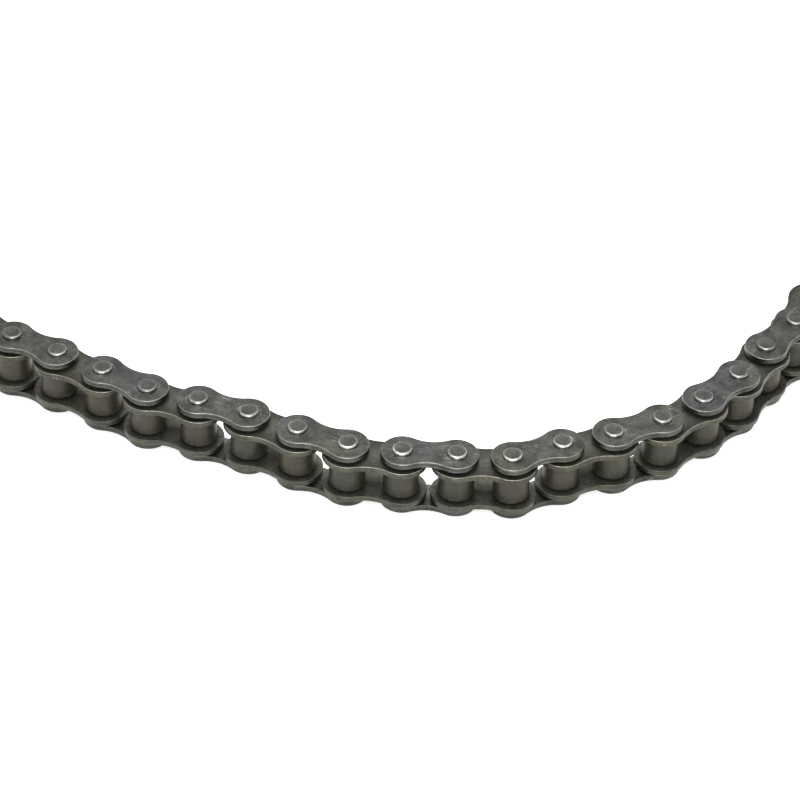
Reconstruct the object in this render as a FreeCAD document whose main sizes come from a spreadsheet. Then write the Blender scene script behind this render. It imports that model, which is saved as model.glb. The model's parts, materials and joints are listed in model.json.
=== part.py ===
"""A strand of 428-size roller chain that lies on its side, with every pin axis upright.

The strand has ten inner links and nine outer links, and an inner link ends it on each side. Each piece
is built in the frame of its own link: the origin is on the link's first pin axis, halfway between the
plates, +X points at its second pin axis and +Z is along the pin. A link is then laid down from pin to
pin, so the whole strand stays one pitch from axis to axis. The strand's own origin is on the surface
that it lies on, under the middle of its outline.
"""
import FreeCAD, Part
import math
import os

import Sketcher
from FreeCAD import Placement, Rotation, Vector

# Driving sizes in millimetres: (name, value, what it is)
SIZES = [
    ("pitch", 12.7, "from one pin axis to the next"),
    ("inner_width", 7.75, "between the two inner plates"),
    ("pin_diameter", 4.45, "shaft of the riveted pin"),
    ("rivet_spread", 0.04, "how far the riveted end stands out past the shaft, each side"),
    ("rivet_height", 0.85, "how far the pin stands out past the outer plate"),
    ("rivet_rounding", 0.4, "edge of the riveted end"),
    ("bush_wall", 0.75, "wall of the bush"),
    ("bush_protrusion", 0.45, "how far the bush stands out past the inner plate"),
    ("bush_rounding", 0.15, "lead-in of the bush's bore"),
    ("roller_diameter", 8.51, "outside of the roller"),
    ("roller_rounding", 0.3, "edge of the roller"),
    ("inner_plate_thickness", 1.4, "inner plate"),
    ("inner_plate_height", 12.0, "inner plate, across an end"),
    ("inner_plate_hollow", 1.2, "how far the inner plate's waist draws in, each side"),
    ("inner_plate_end_gap", 0.7, "between the inner plates of two neighbouring links"),
    ("outer_plate_thickness", 1.6, "outer plate"),
    ("outer_plate_height", 10.3, "outer plate, across an end"),
    ("outer_plate_hollow", 1.4, "how far the outer plate's waist draws in, each side"),
    ("outer_plate_end_gap", 2.6, "between the outer plates of two neighbouring links"),
    ("plate_rounding", 0.25, "blanked rim of every plate"),
    ("pin_clearance", 0.05, "pin to bush bore, each side"),
    ("roller_clearance", 0.08, "bush to roller bore, each side"),
    ("roller_end_clearance", 0.1, "roller to inner plate, each end"),
    ("link_clearance", 0.15, "bush end to outer plate, each side"),
]

# Which way each link points, in degrees from +X. The strand starts with an inner link and then takes
# turns between outer and inner links. It lies in a slack, shallow sag that rises to the right.
LINK_HEADINGS = [-37, -27, -28, -29, -17, -19, -24, -22, -8, -3, -1, 24, 20, 25, 38, 46, 56, 52, 66]

# Sizes that follow from the driving ones, as expressions on the sheet. Heights are from mid-width.
PIN_RADIUS = "sizes.pin_diameter / 2"
RIVET_RADIUS = PIN_RADIUS + " + sizes.rivet_spread"
BUSH_BORE_RADIUS = PIN_RADIUS + " + sizes.pin_clearance"
BUSH_RADIUS = BUSH_BORE_RADIUS + " + sizes.bush_wall"
ROLLER_BORE_RADIUS = BUSH_RADIUS + " + sizes.roller_clearance"
ROLLER_RADIUS = "sizes.roller_diameter / 2"
INNER_PLATE_FOOT = "sizes.inner_width / 2"
ROLLER_TOP = INNER_PLATE_FOOT + " - sizes.roller_end_clearance"
INNER_PLATE_TOP = INNER_PLATE_FOOT + " + sizes.inner_plate_thickness"
BUSH_TOP = INNER_PLATE_TOP + " + sizes.bush_protrusion"
OUTER_PLATE_FOOT = BUSH_TOP + " + sizes.link_clearance"
OUTER_PLATE_TOP = OUTER_PLATE_FOOT + " + sizes.outer_plate_thickness"
PIN_TOP = OUTER_PLATE_TOP + " + sizes.rivet_height"

# Ends of a sketch element, and the sketch's own origin and axes, as Sketcher numbers them
START, END, CENTRE = 1, 2, 3
ORIGIN = (-1, 1)
HORIZONTAL_AXIS, VERTICAL_AXIS = -1, -2

TOLERANCE = 1e-6

doc = FreeCAD.newDocument("RollerChainStrand")
sheet = doc.addObject("Spreadsheet::Sheet", "sizes")


def fill_sheet():
    """Puts every driving size in a row: what it is, and its value under its own alias."""
    for row, (name, value, meaning) in enumerate(SIZES, start=1):
        sheet.set(f"A{row}", meaning)
        sheet.set(f"B{row}", str(value))
        sheet.setAlias(f"B{row}", name)
    doc.recompute()


def origin_feature(body, role):
    """One of a body's own origin planes or axes."""
    return next(feature for feature in body.Origin.OriginFeatures if feature.Role == role)


def new_body(label):
    """An empty body that may hold a group of separate solids."""
    body = doc.addObject("PartDesign::Body", label)
    body.Label = label
    body.AllowCompound = True
    return body


def new_sketch(body, name, plane):
    """A sketch on one of the body's origin planes."""
    sketch = body.newObject("Sketcher::SketchObject", name)
    sketch.AttachmentSupport = [(origin_feature(body, plane), "")]
    sketch.MapMode = "FlatFace"
    return sketch


def dimension(sketch, name, expression, kind, *places):
    """Adds one dimension to a sketch and ties it to the sheet."""
    value = float(sketch.evalExpression(expression))
    index = sketch.addConstraint(Sketcher.Constraint(kind, *places, value))
    sketch.renameConstraint(index, name)
    sketch.setExpression("Constraints." + name, expression)


def constrain(sketch, kind, *places):
    """Adds one constraint that carries no size."""
    sketch.addConstraint(Sketcher.Constraint(kind, *places))


def tied_feature(body, kind, name, **expressions):
    """Adds a feature whose sizes come from the sheet."""
    feature = body.newObject(kind, name)
    for size, expression in expressions.items():
        feature.setExpression(size, expression)
    return feature


def round_edges(body, base, name, radius, wanted):
    """Rounds the edges of the base feature that pass a test."""
    doc.recompute()
    edges = base.Shape.Edges
    names = [f"Edge{number}" for number, edge in enumerate(edges, start=1) if wanted(edge)]
    fillet = tied_feature(body, "PartDesign::Fillet", name, Radius=radius)
    fillet.Base = (base, names)
    return fillet


def is_circle(edge, radius, height):
    """Whether an edge is a full circle of this radius at this height."""
    return (
        len(edge.Vertexes) == 1
        and isinstance(edge.Curve, Part.Circle)
        and abs(edge.Curve.Radius - radius) < TOLERANCE
        and abs(edge.Curve.Center.z - height) < TOLERANCE
    )


def mirror_below(body):
    """Adds the lower half, or the lower one of a pair."""
    mirrored = body.newObject("PartDesign::Mirrored", "Below")
    mirrored.TransformMode = "Whole shape"
    mirrored.MirrorPlane = (origin_feature(body, "XY_Plane"), [""])
    body.Tip = mirrored


def repeat_at_second_axis(body):
    """Adds the same piece again, one pitch along the link."""
    pattern = tied_feature(body, "PartDesign::LinearPattern", "SecondAxis", Length="sizes.pitch")
    pattern.TransformMode = "Whole shape"
    pattern.Direction = (origin_feature(body, "X_Axis"), [""])
    pattern.Occurrences = 2
    body.Tip = pattern


def turned_half(body, corners):
    """Revolves an outline, given as (radius, height) expressions, about the pin axis."""
    sketch = new_sketch(body, "HalfOutline", "XZ_Plane")
    points = [
        Vector(*(float(sketch.evalExpression(expression)) for expression in corner), 0)
        for corner in corners
    ]
    count = len(corners)
    for index in range(count):
        sketch.addGeometry(Part.LineSegment(points[index], points[(index + 1) % count]))
    for index, (radius, height) in enumerate(corners):
        constrain(sketch, "Coincident", index, START, (index - 1) % count, END)
        if radius == "0":
            constrain(sketch, "PointOnObject", index, START, VERTICAL_AXIS)
        else:
            dimension(sketch, f"radius_{index}", radius, "DistanceX", *ORIGIN, index, START)
        if height == "0":
            constrain(sketch, "PointOnObject", index, START, HORIZONTAL_AXIS)
        else:
            dimension(sketch, f"height_{index}", height, "DistanceY", *ORIGIN, index, START)
    revolution = body.newObject("PartDesign::Revolution", "Turned")
    revolution.Profile = sketch
    revolution.ReferenceAxis = (origin_feature(body, "Z_Axis"), [""])
    return revolution


def round_turned_edge(body, base, name, rounding, radius, height):
    """Rounds the one circular edge at this radius and height, both given as expressions."""
    radius_now, height_now = (float(base.evalExpression(size)) for size in (radius, height))

    def is_edge(edge):
        return is_circle(edge, radius_now, height_now)

    return round_edges(body, base, name, rounding, is_edge)


def draw_plate(sketch, plate, hole_radius):
    """Draws a waisted plate outline with its two holes.

    Two end arcs, whose centres lie a little away from the hole centres, are joined by two waist arcs
    that are tangent to them and cross the middle of the plate at its waist.
    """
    end_radius = f"sizes.{plate}_plate_height / 2"
    waist_half = f"{end_radius} - sizes.{plate}_plate_hollow"
    centre_distance = f"2 * sizes.pitch - sizes.{plate}_plate_end_gap - sizes.{plate}_plate_height"
    pitch, radius, waist, distance, hole = (
        float(sketch.evalExpression(expression))
        for expression in ("sizes.pitch", end_radius, waist_half, centre_distance, hole_radius)
    )
    waist_radius = ((distance / 2) ** 2 + waist**2 - radius**2) / (2 * (radius - waist))
    waist_centre = waist + waist_radius
    lean = math.atan2(waist_centre, distance / 2)
    arcs = [
        ((pitch - distance) / 2, 0, radius, lean, 2 * math.pi - lean),
        (pitch / 2, -waist_centre, waist_radius, lean, math.pi - lean),
        ((pitch + distance) / 2, 0, radius, math.pi + lean, 3 * math.pi - lean),
        (pitch / 2, waist_centre, waist_radius, math.pi + lean, 2 * math.pi - lean),
    ]
    for x, y, arc_radius, start, end in arcs:
        circle = Part.Circle(Vector(x, y, 0), Vector(0, 0, 1), arc_radius)
        sketch.addGeometry(Part.ArcOfCircle(circle, start, end))
    left, lower, right, upper = range(4)
    constrain(sketch, "Tangent", left, END, lower, END)
    constrain(sketch, "Tangent", lower, START, right, START)
    constrain(sketch, "Tangent", right, END, upper, END)
    constrain(sketch, "Tangent", upper, START, left, START)

    middle = sketch.addGeometry(Part.Point(Vector(pitch / 2, 0, 0)), True)
    constrain(sketch, "PointOnObject", middle, START, HORIZONTAL_AXIS)
    dimension(sketch, "half_pitch", "sizes.pitch / 2", "DistanceX", *ORIGIN, middle, START)
    constrain(sketch, "PointOnObject", left, CENTRE, HORIZONTAL_AXIS)
    constrain(sketch, "Symmetric", left, CENTRE, right, CENTRE, middle, START)
    dimension(sketch, "centres", centre_distance, "DistanceX", left, CENTRE, right, CENTRE)
    dimension(sketch, "end_radius", end_radius, "Radius", left)
    constrain(sketch, "Equal", left, right)

    crossing = sketch.addGeometry(Part.Point(Vector(pitch / 2, waist, 0)), True)
    constrain(sketch, "Vertical", crossing, START, middle, START)
    dimension(sketch, "waist", waist_half, "DistanceY", *ORIGIN, crossing, START)
    constrain(sketch, "PointOnObject", crossing, START, upper)
    constrain(sketch, "Equal", lower, upper)

    hole_circles = [
        sketch.addGeometry(Part.Circle(Vector(x, 0, 0), Vector(0, 0, 1), hole)) for x in (0, pitch)
    ]
    first, second = hole_circles
    constrain(sketch, "Coincident", first, CENTRE, *ORIGIN)
    constrain(sketch, "PointOnObject", second, CENTRE, HORIZONTAL_AXIS)
    dimension(sketch, "hole_distance", "sizes.pitch", "DistanceX", *ORIGIN, second, CENTRE)
    dimension(sketch, "hole_radius", hole_radius, "Radius", first)
    constrain(sketch, "Equal", first, second)


def make_plates(label, plate, foot, hole_radius):
    """The upper and lower plate of a link, blanked with a rounded rim."""
    body = new_body(label)
    sketch = new_sketch(body, "Outline", "XY_Plane")
    sketch.setExpression("AttachmentOffset.Base.z", foot)
    draw_plate(sketch, plate, hole_radius)
    pad = tied_feature(body, "PartDesign::Pad", "Blank", Length=f"sizes.{plate}_plate_thickness")
    pad.Profile = sketch

    def is_rim(edge):
        low, high = edge.BoundBox.ZMin, edge.BoundBox.ZMax
        return len(edge.Vertexes) == 2 and high - low < TOLERANCE

    round_edges(body, pad, "Rim", "sizes.plate_rounding", is_rim)
    mirror_below(body)
    return body


def make_pins(label):
    """The two pins of an outer link, each with a slightly spread, rounded riveted end."""
    body = new_body(label)
    corners = [
        ("0", "0"),
        (PIN_RADIUS, "0"),
        (PIN_RADIUS, OUTER_PLATE_TOP),
        (RIVET_RADIUS, OUTER_PLATE_TOP),
        (RIVET_RADIUS, PIN_TOP),
        ("0", PIN_TOP),
    ]
    shaft = turned_half(body, corners)
    round_turned_edge(body, shaft, "RivetEdge", "sizes.rivet_rounding", RIVET_RADIUS, PIN_TOP)
    mirror_below(body)
    repeat_at_second_axis(body)
    return body


def ring_corners(bore_radius, radius, top):
    """Outline of half a ring, from mid-width up."""
    return [(bore_radius, "0"), (radius, "0"), (radius, top), (bore_radius, top)]


def make_bushes(label):
    """The two bushes of an inner link, which stand out past its plates and space the outer ones."""
    body = new_body(label)
    ring = turned_half(body, ring_corners(BUSH_BORE_RADIUS, BUSH_RADIUS, BUSH_TOP))
    round_turned_edge(body, ring, "LeadIn", "sizes.bush_rounding", BUSH_BORE_RADIUS, BUSH_TOP)
    mirror_below(body)
    repeat_at_second_axis(body)
    return body


def make_roller(label):
    """One loose roller on its bush."""
    body = new_body(label)
    ring = turned_half(body, ring_corners(ROLLER_BORE_RADIUS, ROLLER_RADIUS, ROLLER_TOP))
    round_turned_edge(body, ring, "Edge", "sizes.roller_rounding", ROLLER_RADIUS, ROLLER_TOP)
    mirror_below(body)
    return body


def pin_axes():
    """Where each pin axis stands, from the headings, with the first one at the origin."""
    axes = [Vector(0, 0, 0)]
    for heading in LINK_HEADINGS:
        angle = math.radians(heading)
        axes.append(axes[-1] + Vector(math.cos(angle), math.sin(angle), 0) * sheet.pitch)
    return axes


def lay(body, axis, heading):
    """Puts a piece on its link's pin axis and turns it the way its link points."""
    body.Placement = Placement(axis, Rotation(Vector(0, 0, 1), heading))


def centre_on_surface(pieces):
    """Moves the whole strand so that it lies on z = 0 with its outline centred on the origin."""
    doc.recompute()
    box = FreeCAD.BoundBox()
    for piece in pieces:
        box.add(piece.Shape.optimalBoundingBox(False, False))
    shift = Vector(-box.Center.x, -box.Center.y, -box.ZMin)
    for piece in pieces:
        placement = piece.Placement
        placement.move(shift)
        piece.Placement = placement


def build_strand():
    """Builds every piece of every link, in order from the first link to the last."""
    axes = pin_axes()
    pieces = []
    inner_count = 0
    outer_count = 0
    for index, heading in enumerate(LINK_HEADINGS):
        if index % 2 == 0:
            inner_count += 1
            name = f"inner_link_{inner_count:02d}"
            link = [
                make_plates(name + "_plates", "inner", INNER_PLATE_FOOT, BUSH_RADIUS),
                make_bushes(name + "_bushes"),
            ]
            for axis in (index, index + 1):
                roller = make_roller(f"roller_{axis + 1:02d}")
                lay(roller, axes[axis], heading)
                pieces.append(roller)
        else:
            outer_count += 1
            name = f"outer_link_{outer_count:02d}"
            link = [
                make_plates(name + "_plates", "outer", OUTER_PLATE_FOOT, PIN_RADIUS),
                make_pins(name + "_pins"),
            ]
        for piece in link:
            lay(piece, axes[index], heading)
        pieces += link
    centre_on_surface(pieces)
    return pieces


def check(pieces):
    """Stops the build if any feature failed or any piece isn't a sound solid."""
    doc.recompute()
    for feature in doc.Objects:
        if "Invalid" in feature.State or "Error" in feature.State:
            raise RuntimeError(f"{feature.Name} failed: {feature.State}")
    for piece in pieces:
        if piece.Shape.isNull() or not piece.Shape.isValid():
            raise RuntimeError(f"{piece.Label} has no sound shape")
        expected = 1 if piece.Label.startswith("roller") else 2
        if len(piece.Shape.Solids) != expected:
            raise RuntimeError(f"{piece.Label} has {len(piece.Shape.Solids)} solids")


def export(pieces):
    """Writes each piece to its own file."""
    os.makedirs("parts", exist_ok=True)
    for piece in pieces:
        piece.Shape.exportStep(f"parts/{piece.Label}.step")
    print(f"{len(pieces)} nodes, {sum(len(piece.Shape.Solids) for piece in pieces)} solids")


fill_sheet()
strand = build_strand()
check(strand)
export(strand)
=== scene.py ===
"""Looks of a 428-size roller chain strand that lies on its side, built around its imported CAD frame.

Every length is in metres, in the frame's own axes: +Z is up along the pins and the strand lies on
z = 0. A piece is drawn in its link's own frame (first pin axis at the origin, second one along +X,
z = 0 halfway between the plates) and is then laid where the CAD joints say the link is.
"""
import json
import math

import bmesh
import bpy
from mathutils import Matrix, Vector


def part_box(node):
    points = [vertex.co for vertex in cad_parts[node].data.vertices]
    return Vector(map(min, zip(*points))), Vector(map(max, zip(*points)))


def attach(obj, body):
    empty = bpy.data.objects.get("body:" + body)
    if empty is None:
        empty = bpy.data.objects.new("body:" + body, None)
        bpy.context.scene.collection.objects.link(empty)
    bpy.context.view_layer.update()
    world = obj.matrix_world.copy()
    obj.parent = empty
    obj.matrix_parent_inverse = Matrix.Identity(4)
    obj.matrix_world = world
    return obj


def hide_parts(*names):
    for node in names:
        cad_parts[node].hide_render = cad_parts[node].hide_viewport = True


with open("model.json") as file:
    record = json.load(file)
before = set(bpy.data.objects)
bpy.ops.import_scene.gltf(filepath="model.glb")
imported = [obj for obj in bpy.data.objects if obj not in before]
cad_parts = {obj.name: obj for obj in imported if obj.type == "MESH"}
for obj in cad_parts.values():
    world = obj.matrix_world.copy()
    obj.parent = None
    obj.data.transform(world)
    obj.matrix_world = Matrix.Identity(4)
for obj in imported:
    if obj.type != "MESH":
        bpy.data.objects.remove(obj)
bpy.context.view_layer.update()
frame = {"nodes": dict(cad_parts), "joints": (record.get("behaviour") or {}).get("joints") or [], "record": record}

MM = 0.001


# ---------------------------------------------------------------- sizes, from the frame where it has them

def pin_axes():
    """Every pin axis from left to right: the open bush, each hinge, and the other open bush."""
    mounts = {mount["name"]: mount for mount in frame["record"]["mounts"]}
    places = [mounts["left_end_bush"]["pos_m"]]
    places += [joint["pos_m"] for joint in frame["joints"] if joint["name"].startswith("pin_")]
    places.append(mounts["right_end_bush"]["pos_m"])
    return [Vector(place) for place in places]


AXES = pin_axes()
PITCH = (AXES[1] - AXES[0]).length
MIDDLE = AXES[0].z


def top_of(node):
    """Height of a node's top above mid-width."""
    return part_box(node)[1].z - MIDDLE


INNER_PLATE_TOP = top_of("inner_link_01_plates")
OUTER_PLATE_TOP = top_of("outer_link_01_plates")
PIN_TOP = top_of("outer_link_01_pins")
ROLLER_TOP = top_of("roller_01")
ROLLER_RADIUS = (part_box("roller_01")[1].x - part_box("roller_01")[0].x) / 2

# Sizes that a box can't give, the same as in the CAD model
PIN_RADIUS = 2.225 * MM
PIN_CLEARANCE = 0.05 * MM
RIVET_SPREAD = 0.04 * MM
RIVET_RADIUS = PIN_RADIUS + RIVET_SPREAD
BUSH_WALL = 0.75 * MM
BUSH_RADIUS = PIN_RADIUS + PIN_CLEARANCE + BUSH_WALL
ROLLER_CLEARANCE = 0.08 * MM
ROLLER_BORE_RADIUS = BUSH_RADIUS + ROLLER_CLEARANCE
INNER_PLATE = {"thickness": 1.4 * MM, "height": 12.0 * MM, "waist": 9.6 * MM, "end_gap": 0.7 * MM}
OUTER_PLATE = {"thickness": 1.6 * MM, "height": 10.3 * MM, "waist": 7.5 * MM, "end_gap": 2.6 * MM}


# ---------------------------------------------------------------- mesh helpers

SEED_STEP = 0.05


class Draft:
    """One piece while it is drawn in its link's frame.

    Each vertex keeps a wear value, from -1 (the side band, which takes a painted shading colour) over 0
    (plain) to 1 (rubbed bright, on pin ends and plate rims partly a painted highlight), and its
    place in the link, shifted by a seed so that no two pieces carry the same marks.
    """

    def __init__(self, name, place, seed):
        self.name = name
        self.place = place
        self.seed = seed
        self.shift = Vector((0.0, 0.0, seed * SEED_STEP))
        self.mesh = bmesh.new()
        self.wear_and_highlight = self.mesh.verts.layers.float.new("wear_and_highlight")
        self.local = self.mesh.verts.layers.float_vector.new("local")

    def ring(self, points, wear_and_highlight=0.0):
        """Adds a closed loop of vertices."""
        ring = [self.mesh.verts.new(point) for point in points]
        for vertex in ring:
            vertex[self.wear_and_highlight] = wear_and_highlight
        return ring

    def loft(self, rings):
        """Joins loops of the same count with quads, one after the other."""
        for lower, upper in zip(rings, rings[1:]):
            for index in range(len(lower)):
                corners = (lower[index - 1], lower[index], upper[index], upper[index - 1])
                self.mesh.faces.new(corners)

    def fill(self, *loops):
        """Fills the flat area between loops; the ones inside the first are left open."""
        edges = []
        for loop in loops:
            edges += [self.mesh.edges.get((loop[i - 1], loop[i])) for i in range(len(loop))]
        bmesh.ops.triangle_fill(self.mesh, use_beauty=True, use_dissolve=False, edges=edges)

    def finish(self, material):
        """Lays the piece in place and returns it as an object."""
        for vertex in self.mesh.verts:
            vertex[self.local] = vertex.co + self.shift
        self.mesh.transform(self.place)
        bmesh.ops.recalc_face_normals(self.mesh, faces=self.mesh.faces)
        data = bpy.data.meshes.new(self.name)
        self.mesh.to_mesh(data)
        self.mesh.free()
        data.shade_smooth()
        data.materials.append(material)
        piece = bpy.data.objects.new(self.name, data)
        bpy.context.scene.collection.objects.link(piece)
        weighted = piece.modifiers.new("FlatFaces", "WEIGHTED_NORMAL")
        weighted.weight = 100
        return piece


def circle(radius, height, count, x=0.0):
    """Points of a level circle round an axis at x."""
    turn = 2 * math.pi / count
    return [(x + radius * math.cos(i * turn), radius * math.sin(i * turn), height) for i in range(count)]


def rounding(radius, height, size, start, end, steps):
    """(radius, height) along a rounded edge whose arc has its centre there; angles in degrees."""
    angles = [math.radians(start + (end - start) * step / steps) for step in range(steps + 1)]
    return [(radius + size * math.cos(angle), height + size * math.sin(angle)) for angle in angles]


def link_matrix(index):
    """Where link number index lies."""
    along = AXES[index + 1] - AXES[index]
    return Matrix.Translation(AXES[index]) @ Matrix.Rotation(math.atan2(along.y, along.x), 4, "Z")


def stand_for(piece, body, node):
    """The piece takes the CAD node's place, on the same body."""
    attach(piece, body)
    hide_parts(node)


# ---------------------------------------------------------------- plates

END_STEPS = 40
WAIST_STEPS = 14
HOLE_STEPS = 64


def plate_loop(plate, inset, height):
    """The waisted outline, drawn in from the rim by inset: two end arcs and two waist arcs."""
    end = plate["height"] / 2
    waist = plate["waist"] / 2
    half = (2 * PITCH - plate["end_gap"] - plate["height"]) / 2
    hollow = (half**2 + waist**2 - end**2) / (2 * (end - waist))
    lean = math.atan2(waist + hollow, half)
    middle = PITCH / 2
    arcs = [
        (middle - half, 0, end - inset, lean, 2 * math.pi - lean, END_STEPS),
        (middle, -waist - hollow, hollow + inset, math.pi - lean, lean, WAIST_STEPS),
        (middle + half, 0, end - inset, lean - math.pi, math.pi - lean, END_STEPS),
        (middle, waist + hollow, hollow + inset, -lean, lean - math.pi, WAIST_STEPS),
    ]
    points = []
    for x, y, radius, start, stop, steps in arcs:
        for step in range(steps):
            angle = start + (stop - start) * step / steps
            points.append((x + radius * math.cos(angle), y + radius * math.sin(angle), height))
    return points


def rim_profile(thickness):
    """(inset, depth below the outer face, wear) from the outer face round to the inner one.

    A blanked edge: a rolled upper corner, a burnished band set in a little, a small ledge where the
    metal tore, and a tighter lower corner. The rolled corner's wear peaks halfway round, as a rubbed
    rim and partly as a painted highlight line; the band and the lower corner take the side band's
    painted shading (values below 0).
    """
    rolled = 0.2 * MM
    ledge = 0.05 * MM
    corner = 0.12 * MM
    rolled_steps = 6
    corner_steps = 3
    profile = [(rolled + 0.1 * MM, 0.0, 0.0), (rolled, 0.0, 0.15)]
    for step in range(1, rolled_steps):
        angle = math.radians(90 * step / rolled_steps)
        # Wear peaking halfway round the rolled corner: a rubbed rim and partly a painted highlight line.
        rubbed_and_highlight = math.sin(2 * angle) ** 2
        inset = ledge + (rolled - ledge) * (1 - math.sin(angle))
        profile.append((inset, rolled * (1 - math.cos(angle)), rubbed_and_highlight))
    profile += [
        (ledge, rolled, -0.3),
        (ledge, 0.56 * thickness, -1.0),
        (0.0, 0.63 * thickness, 0.15),
        (0.0, thickness - corner, -1.0),
    ]
    for step in range(1, corner_steps + 1):
        angle = math.radians(90 * step / corner_steps)
        inset = corner * (1 - math.cos(angle))
        profile.append((inset, thickness - corner * (1 - math.sin(angle)), 0.35))
    return profile


# Distance from the hole in mm, share of the groove's full depth (below 0 stands proud), wear
STAKING_PROFILE = [(0.22, 0.0, 0.0), (0.34, 1.0, 0.2), (0.5, 1.0, 0.1), (0.62, -0.3, 0.7), (0.74, 0.0, 0.0)]
STAKING_DEPTH = 0.07 * MM


def staking_rings(draft, level, hole, x, seed):
    """Rings round a riveted pin: a groove that the tool pressed deeper on some sides than on others."""
    rings = []
    for reach, share, wear_and_highlight in STAKING_PROFILE:
        ring = draft.ring(circle(hole + reach * MM, level(0.0), HOLE_STEPS, x))
        for index, vertex in enumerate(ring):
            turn = 2 * math.pi * index / HOLE_STEPS
            pressed = max(0.0, math.sin(2 * turn + seed) * 0.6 + math.sin(3 * turn + 2.3 * seed) * 0.5) ** 1.5
            vertex.co.z = level(STAKING_DEPTH * share * min(pressed, 1.0))
            vertex[draft.wear_and_highlight] = wear_and_highlight * min(pressed, 1.0)
        rings.append(ring)
    return rings


def draw_plate(draft, plate, face, side, hole, staked):
    """One plate whose outer face is at height face; side is 1 for the upper one, -1 for the lower."""
    thickness = plate["thickness"]

    def level(depth):
        return side * (face - depth)

    rim = []
    for inset, depth, wear_and_highlight in rim_profile(thickness):
        rim.append(draft.ring(plate_loop(plate, inset, level(depth)), wear_and_highlight))
    draft.loft(rim)
    outer_loops, inner_loops = [rim[0]], [rim[-1]]
    bevel = 0.08 * MM
    wall = [(hole, thickness, 0.0), (hole, bevel, 0.0), (hole + bevel, 0.0, 0.2)]
    for x in (0.0, PITCH):
        rings = []
        for radius, depth, wear_and_highlight in wall:
            rings.append(draft.ring(circle(radius, level(depth), HOLE_STEPS, x), wear_and_highlight))
        if staked:
            rings += staking_rings(draft, level, hole, x, draft.seed + x / PITCH + side)
        draft.loft(rings)
        inner_loops.append(rings[0])
        outer_loops.append(rings[-1])
    draft.fill(*outer_loops)
    draft.fill(*inner_loops)


def plate_pair(name, index, plate, face, hole, staked, material):
    """The two plates of one link."""
    draft = Draft(name, link_matrix(index), index + 1)
    for side in (1, -1):
        draw_plate(draft, plate, face, side, hole, staked)
    return draft.finish(material)


# ---------------------------------------------------------------- turned pieces

def pin_edge_shine(index, x):
    """How bright a pin's edge is, as rubbed wear and painted highlight: most in the middle of the strand, and
    never quite evenly.
    """
    middle_axis = 10.0
    spread = 4.5
    along = (index + x / PITCH - middle_axis) / spread
    return 0.32 + 0.6 * math.exp(-(along**2)) + 0.08 * math.sin(5.1 * index + 2.3 * x / PITCH)


def paint_front_highlight(draft, rings, highlight_angle):
    """Painted highlight: leaves the rings' wear whole on the side that faces the given angle, and down to half of
    it opposite.
    """
    for ring in rings:
        for index, vertex in enumerate(ring):
            turn = 2 * math.pi * index / len(ring)
            vertex[draft.wear_and_highlight] *= 0.75 + 0.25 * math.cos(turn - highlight_angle)


def draw_pin(draft, x):
    """A pin with a rounded end at the top and the bottom, each dished a little by the riveting punch."""
    edge = 0.4 * MM
    dish = 0.03 * MM
    steps = 8
    share = pin_edge_shine(draft.seed - 1, x)
    flat = RIVET_RADIUS - edge
    foot = (PIN_RADIUS, OUTER_PLATE_TOP, 0.0)
    for side in (1, -1):
        profile = [
            (0.3 * flat, PIN_TOP - dish, 0.0),
            (0.75 * flat, PIN_TOP - 0.8 * dish, 0.0),
            (0.93 * flat, PIN_TOP, 0.05),
        ]
        # Wear rising down the rounded edge and whole on the rivet's rim: a rubbed edge and partly a painted
        # highlight, the bright crescent of the pin end.
        for step, (radius, height) in enumerate(rounding(flat, PIN_TOP - edge, edge, 90, 0, steps)):
            profile.append((radius, height, share * min(1.0, 0.12 + 0.22 * step)))
        profile += [
            (RIVET_RADIUS, OUTER_PLATE_TOP + 0.16 * MM, share),
            (RIVET_RADIUS, OUTER_PLATE_TOP + 0.07 * MM, 0.2 * share),
            foot,
            foot,  # twice, so that the edge between rivet and shank stays crisp
            (PIN_RADIUS, 0.02 * MM, 0.6),
        ]
        rings = []
        for radius, height, wear_and_highlight in profile:
            rings.append(draft.ring(circle(radius, side * height, HOLE_STEPS, x), wear_and_highlight))
        # Painted highlight: the angle stays within a radian of -90 degrees, the front, so each pin end is
        # brightest on the side facing the camera and the front light.
        paint_front_highlight(draft, rings, math.sin(3.7 * draft.seed + 1.9 * x / PITCH) - math.pi / 2)
        draft.loft(rings)
        draft.fill(rings[0])
        if side == 1:
            waist = rings[-1]
    draft.loft([waist, rings[-1]])


def pin_pair(name, index, material):
    """The two pins of one outer link."""
    draft = Draft(name, link_matrix(index), index + 1)
    for x in (0.0, PITCH):
        draw_pin(draft, x)
    return draft.finish(material)


ROLLER_STEPS = 96


def roller(name, axis, index, material):
    """One roller: a ring with rounded outer edges and broken bore edges."""
    first_seed = 31
    place = Matrix.Translation(AXES[axis]) @ Matrix.Rotation(index, 4, "Z")
    draft = Draft(name, place, axis + first_seed)
    edge = 0.3 * MM
    bore_edge = 0.12 * MM
    steps = 6
    upper = [
        (ROLLER_BORE_RADIUS, ROLLER_TOP - bore_edge, 0.1),
        (ROLLER_BORE_RADIUS + bore_edge, ROLLER_TOP, 0.2),
    ]
    rounded = rounding(ROLLER_RADIUS - edge, ROLLER_TOP - edge, edge, 90, 0, steps)
    upper += [(radius, height, 0.3) for radius, height in rounded]
    upper.append((ROLLER_RADIUS, 0.6 * ROLLER_TOP, 0.1))
    lower = [(radius, -height, wear_and_highlight) for radius, height, wear_and_highlight in reversed(upper)]
    profile = upper + lower
    rings = [draft.ring(circle(radius, height, ROLLER_STEPS), wear_and_highlight) for radius, height, wear_and_highlight in profile]
    draft.loft(rings + rings[:1])
    return draft.finish(material)


# ---------------------------------------------------------------- material building blocks

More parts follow.
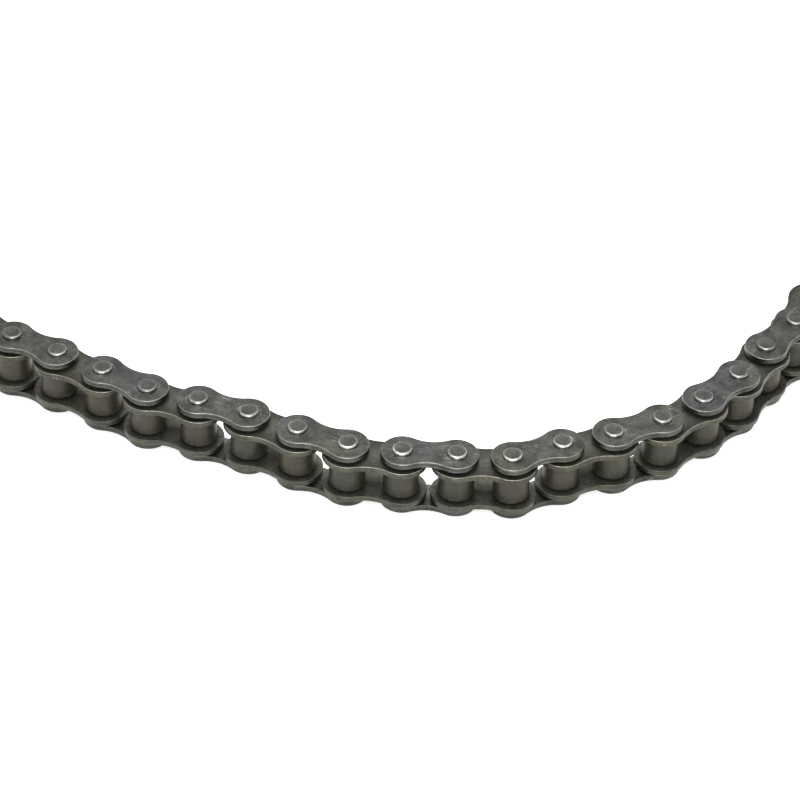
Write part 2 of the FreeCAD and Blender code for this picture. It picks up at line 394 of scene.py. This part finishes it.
class Nodes:
    """A small hand for building one material's node tree."""

    def __init__(self, name):
        self.material = bpy.data.materials.new(name)
        self.material.use_nodes = True
        self.tree = self.material.node_tree
        self.tree.nodes.clear()
        self.shader = self.add("ShaderNodeBsdfPrincipled")
        output = self.add("ShaderNodeOutputMaterial")
        self.link(self.shader.outputs["BSDF"], output.inputs["Surface"])

    def add(self, kind, inputs=None, **settings):
        """Adds a node; each input is a value or another node's output."""
        node = self.tree.nodes.new(kind)
        for setting, value in settings.items():
            setattr(node, setting, value)
        for name, value in (inputs or {}).items():
            self.set(node.inputs[name], value)
        return node

    def set(self, socket, value):
        """Gives a socket a value or a link."""
        if isinstance(value, bpy.types.NodeSocket):
            self.link(value, socket)
        else:
            socket.default_value = value

    def link(self, output, socket):
        self.tree.links.new(output, socket)

    def attribute(self, name, output):
        """A value that the mesh keeps on each vertex."""
        return self.add("ShaderNodeAttribute", attribute_name=name).outputs[output]

    def stretched(self, factors, turn=0.0):
        """The place in the link, stretched along each axis and turned about the pin."""
        settings = {"Vector": self.attribute("local", "Vector"), "Scale": factors, "Rotation": (0, 0, turn)}
        return self.add("ShaderNodeMapping", settings).outputs["Vector"]

    def noise(self, vector, scale, detail=4.0, roughness=0.55, distortion=0.0):
        """Soft noise from 0 to 1."""
        settings = {"Vector": vector, "Scale": scale, "Detail": detail}
        settings.update({"Roughness": roughness, "Distortion": distortion})
        return self.add("ShaderNodeTexNoise", settings).outputs["Fac"]

    def ramp(self, value, low, high, start=0.0, stop=1.0):
        """Maps low..high to start..stop, held at both ends."""
        settings = {"Value": value, "From Min": low, "From Max": high, "To Min": start, "To Max": stop}
        return self.add("ShaderNodeMapRange", settings).outputs["Result"]

    def math(self, operation, first, second=0.0):
        """One sum of two values."""
        node = self.add("ShaderNodeMath", operation=operation)
        self.set(node.inputs[0], first)
        self.set(node.inputs[1], second)
        return node.outputs[0]

    def mix(self, factor, first, second, blend="MIX"):
        """One colour laid over another."""
        node = self.add("ShaderNodeMix", data_type="RGBA", blend_type=blend)
        self.set(node.inputs["Factor"], factor)
        self.set(node.inputs["A"], first)
        self.set(node.inputs["B"], second)
        return node.outputs["Result"]

    def scratches(self, scale, turn, density):
        """Thin straight marks in one direction, as a mask."""
        lines = self.noise(self.stretched((0.06, 1.0, 1.0), turn), scale, 2.0, 0.5, 0.2)
        patches = self.noise(self.stretched((1.0, 1.0, 1.0), turn), scale * 0.12, 2.0)
        from_middle = self.math("ABSOLUTE", self.math("SUBTRACT", lines, 0.5))
        thin = self.ramp(from_middle, 0.0, 0.012, 1.0, 0.0)
        return self.math("MULTIPLY", thin, self.ramp(patches, 1.0 - density, 1.15 - density))

    def bump(self, height, strength, distance, normal=None):
        """A surface normal moved by a height."""
        settings = {"Height": height, "Strength": strength, "Distance": distance}
        if normal is not None:
            settings["Normal"] = normal
        return self.add("ShaderNodeBump", settings).outputs["Normal"]


def oiled_colour(nodes, place, dark, light, tint):
    """Cloudy steel with an oily tint in places, fine bright specks and small dark pits."""
    clouds = nodes.noise(place, 260.0, 5.0, 0.6)
    colour = nodes.mix(nodes.ramp(clouds, 0.35, 0.65), dark, light)
    oiled = nodes.ramp(nodes.noise(place, 30.0, 2.0), 0.42, 0.62)
    colour = nodes.mix(oiled, colour, tint, "MULTIPLY")
    specks = nodes.noise(place, 2600.0, 3.0, 0.65)
    colour = nodes.mix(nodes.ramp(specks, 0.54, 0.74), colour, rgb(1.8, 1.8, 1.75), "MULTIPLY")
    pits = nodes.noise(place, 1500.0, 3.0, 0.6)
    return nodes.mix(nodes.ramp(pits, 0.42, 0.3), colour, rgb(0.6, 0.6, 0.58), "MULTIPLY")


def crossed_scratches(nodes, density):
    """Scratches in three directions, as one mask."""
    marks = nodes.scratches(900.0, 0.5, density)
    for scale, turn in ((1300.0, -0.7), (1100.0, 1.9)):
        marks = nodes.math("MAXIMUM", marks, nodes.scratches(scale, turn, density))
    return marks


def relief(nodes, place, grain, marks):
    """The surface's normal: fine grain, cut scratches and slow unevenness."""
    fine = nodes.bump(nodes.noise(nodes.stretched(grain), 5000.0, 3.0, 0.6), 0.35, 0.00002)
    cut = nodes.bump(nodes.math("SUBTRACT", 1.0, marks), 0.3, 0.00003, fine)
    return nodes.bump(nodes.noise(place, 260.0, 4.0, 0.6), 0.4, 0.0003, cut)


def steel(name, dark, light, tint, side_band_shading, worn_and_highlight, scratch, metallic, roughness, scratch_density, grain):
    """Dark oiled steel: cloudy colour, oily tint, grain, scratches, side bands with a painted shading colour, and
    rubbed edges that are partly a painted highlight.
    """
    nodes = Nodes(name)
    place = nodes.attribute("local", "Vector")
    colour = oiled_colour(nodes, place, dark, light, tint)
    marks = crossed_scratches(nodes, scratch_density)
    colour = nodes.mix(nodes.math("MULTIPLY", marks, 0.7), colour, scratch)
    wear_and_highlight = nodes.attribute("wear_and_highlight", "Fac")
    # Painted shading on the side bands, where the wear value is below 0: the side colour is multiplied in.
    colour = nodes.mix(nodes.ramp(wear_and_highlight, 0.0, -1.0), colour, side_band_shading, "MULTIPLY")
    # Rubbed edges and painted highlight: the positive wear value, broken up by noise, mixes in the worn colour and
    # lowers the roughness.
    broken = nodes.ramp(nodes.noise(place, 1100.0, 4.0, 0.6), 0.34, 0.6, 0.4, 1.0)
    rubbed_and_highlight = nodes.math("MULTIPLY", nodes.math("MAXIMUM", wear_and_highlight, 0.0), broken)
    nodes.set(nodes.shader.inputs["Base Color"], nodes.mix(rubbed_and_highlight, colour, worn_and_highlight))
    nodes.shader.inputs["Metallic"].default_value = metallic
    blotches = nodes.noise(place, 700.0, 4.0, 0.6)
    shine = nodes.ramp(blotches, 0.3, 0.7, roughness + 0.07, roughness - 0.07)
    shine = nodes.math("SUBTRACT", shine, nodes.math("MULTIPLY", rubbed_and_highlight, 0.12))
    nodes.set(nodes.shader.inputs["Roughness"], shine)
    nodes.set(nodes.shader.inputs["Normal"], relief(nodes, place, grain, marks))
    return nodes.material


def rgb(red, green, blue):
    """An opaque colour."""
    return (red, green, blue, 1.0)


def outer_plate_material():
    """Dull grey, slightly cool, with a few scuffs."""
    return steel(
        "outer_plate_steel",
        dark=rgb(0.046, 0.046, 0.046),
        light=rgb(0.096, 0.095, 0.093),
        tint=rgb(1.0, 1.0, 0.86),
        # Painted shade: darkens the outer plates' side bands.
        side_band_shading=rgb(0.6, 0.6, 0.56),
        worn_and_highlight=rgb(0.33, 0.325, 0.3),
        scratch=rgb(0.33, 0.325, 0.3),
        metallic=1.0,
        roughness=0.44,
        scratch_density=0.46,
        grain=(0.3, 1.0, 1.0),
    )


def inner_plate_material():
    """A little darker and warmer than the outer plates."""
    return steel(
        "inner_plate_steel",
        dark=rgb(0.02, 0.02, 0.0155),
        light=rgb(0.042, 0.0412, 0.0325),
        tint=rgb(1.0, 0.99, 0.84),
        # Painted light: lightens the inner plates' side bands.
        side_band_shading=rgb(1.7, 1.7, 1.6),
        worn_and_highlight=rgb(0.3, 0.295, 0.26),
        scratch=rgb(0.3, 0.295, 0.26),
        metallic=0.7,
        roughness=0.44,
        scratch_density=0.38,
        grain=(0.3, 1.0, 1.0),
    )


def roller_material():
    """Olive to brown under a dull oil film, with turning marks round it."""
    return steel(
        "roller_steel",
        dark=rgb(0.012, 0.0116, 0.0055),
        light=rgb(0.02, 0.0195, 0.0095),
        tint=rgb(1.3, 1.08, 0.8),
        side_band_shading=rgb(1.0, 1.0, 1.0),
        worn_and_highlight=rgb(0.17, 0.165, 0.14),
        scratch=rgb(0.17, 0.165, 0.14),
        metallic=0.5,
        roughness=0.5,
        scratch_density=0.35,
        grain=(0.2, 0.2, 3.0),
    )


def pin_material():
    """Dull ends like the plates, with a bright edge: rubbed wear and a painted highlight, strongest on the front
    side.
    """
    return steel(
        "pin_steel",
        dark=rgb(0.07, 0.07, 0.068),
        light=rgb(0.106, 0.105, 0.1),
        tint=rgb(1.0, 1.0, 0.9),
        side_band_shading=rgb(1.0, 1.0, 1.0),
        # Near white: the pin ends' bright crescent, partly rubbed wear and partly painted highlight.
        worn_and_highlight=rgb(0.92, 0.91, 0.89),
        scratch=rgb(0.26, 0.255, 0.245),
        metallic=1.0,
        roughness=0.34,
        scratch_density=0.3,
        grain=(1.0, 1.0, 0.4),
    )


def bush_material():
    """Ground steel on the CAD bushes, which carry no marks of their own."""
    nodes = Nodes("bush_steel")
    place = nodes.add("ShaderNodeTexCoord").outputs["Object"]
    turned = nodes.add("ShaderNodeMapping", {"Vector": place, "Scale": (0.2, 0.2, 3.0)}).outputs["Vector"]
    clouds = nodes.noise(place, 400.0, 4.0)
    colour = nodes.mix(clouds, rgb(0.12, 0.115, 0.1), rgb(0.3, 0.29, 0.26))
    nodes.set(nodes.shader.inputs["Base Color"], colour)
    nodes.shader.inputs["Metallic"].default_value = 1.0
    nodes.set(nodes.shader.inputs["Roughness"], nodes.ramp(clouds, 0.3, 0.7, 0.4, 0.28))
    nodes.set(nodes.shader.inputs["Normal"], nodes.bump(nodes.noise(turned, 4000.0), 0.3, 0.00002))
    return nodes.material


# ---------------------------------------------------------------- the strand

def build_strand():
    """Every link and roller, in place of its CAD node; the bushes keep their CAD shape."""
    outer_steel = outer_plate_material()
    inner_steel = inner_plate_material()
    pin_steel = pin_material()
    roller_steel = roller_material()
    bush_steel = bush_material()
    for index in range(len(AXES) - 1):
        number = index // 2 + 1
        if index % 2 == 0:
            body = f"inner_link_{number:02d}"
            name = body + "_plates_worn"
            plates = plate_pair(name, index, INNER_PLATE, INNER_PLATE_TOP, BUSH_RADIUS, False, inner_steel)
            stand_for(plates, body, body + "_plates")
            frame["nodes"][body + "_bushes"].material_slots[0].material = bush_steel
            for axis in (index, index + 1):
                node = f"roller_{axis + 1:02d}"
                stand_for(roller(node + "_worn", axis, index, roller_steel), node, node)
        else:
            body = f"outer_link_{number:02d}"
            name = body + "_plates_worn"
            plates = plate_pair(name, index, OUTER_PLATE, OUTER_PLATE_TOP, PIN_RADIUS, True, outer_steel)
            stand_for(plates, body, body + "_plates")
            pins = pin_pair(body + "_pins_worn", index, pin_steel)
            stand_for(pins, body, body + "_pins")


# ---------------------------------------------------------------- stage, light and camera

def build_floor():
    """A plain pale floor, well wider than the strand and faintly lit from below, so shadows stay light."""
    data = bpy.data.meshes.new("floor")
    half_width = 3.0
    corners = [(x * half_width, y * half_width, 0) for x, y in ((-1, -1), (1, -1), (1, 1), (-1, 1))]
    data.from_pydata(corners, [], [(0, 1, 2, 3)])
    floor = bpy.data.objects.new("floor", data)
    bpy.context.scene.collection.objects.link(floor)
    nodes = Nodes("pale_floor")
    place = nodes.add("ShaderNodeTexCoord").outputs["Object"]
    nodes.set(
        nodes.shader.inputs["Base Color"],
        nodes.mix(nodes.noise(place, 40.0), rgb(0.9, 0.9, 0.895), rgb(0.93, 0.93, 0.925)),
    )
    nodes.shader.inputs["Roughness"].default_value = 0.9
    nodes.shader.inputs["Emission Color"].default_value = rgb(1.0, 1.0, 1.0)
    nodes.shader.inputs["Emission Strength"].default_value = 0.5
    data.materials.append(nodes.material)


def area_light(name, place, target, size, power):
    """A soft square light that looks at a target."""
    data = bpy.data.lights.new(name, "AREA")
    data.shape = "SQUARE"
    data.size = size
    data.energy = power
    light = bpy.data.objects.new(name, data)
    light.location = place
    light.rotation_euler = (Vector(target) - Vector(place)).to_track_quat("-Z", "Y").to_euler()
    bpy.context.scene.collection.objects.link(light)


def build_light():
    """A bright surrounding with a broad soft light overhead and one in front."""
    world = bpy.data.worlds.new("studio")
    world.use_nodes = True
    world.node_tree.nodes["Background"].inputs["Color"].default_value = rgb(1.0, 1.0, 1.0)
    world.node_tree.nodes["Background"].inputs["Strength"].default_value = 0.9
    bpy.context.scene.world = world
    area_light("overhead", (0.0, 0.1, 0.7), (0, 0, 0), 0.6, 5.0)
    area_light("front", (-0.05, -0.7, 0.45), (0, 0, 0), 0.55, 4.6)


def build_camera():
    """The photograph's view: 40.8 degrees down, along +Y, turned a little about the line of sight."""
    aim = Vector((AXES[0].x + 103.02 * MM, AXES[0].y - 27.55 * MM, MIDDLE + OUTER_PLATE_TOP + 0.14 * MM))
    elevation = math.radians(40.8)
    roll = math.radians(1.70)
    distance = 0.7692
    level = Vector((1, 0, 0))
    rise = Vector((0, math.sin(elevation), math.cos(elevation)))
    right = math.cos(roll) * level + math.sin(roll) * rise
    up = math.cos(roll) * rise - math.sin(roll) * level
    back = right.cross(up)
    data = bpy.data.cameras.new("camera")
    data.sensor_width = 36.0
    data.lens = 148.0
    data.clip_start = 0.01
    camera = bpy.data.objects.new("camera", data)
    turn = Matrix((right, up, back)).transposed().to_4x4()
    camera.matrix_world = Matrix.Translation(aim + back * distance) @ turn
    bpy.context.scene.collection.objects.link(camera)
    bpy.context.scene.camera = camera


build_strand()
build_floor()
build_light()
build_camera()
bpy.context.scene.view_settings.view_transform = "Standard"
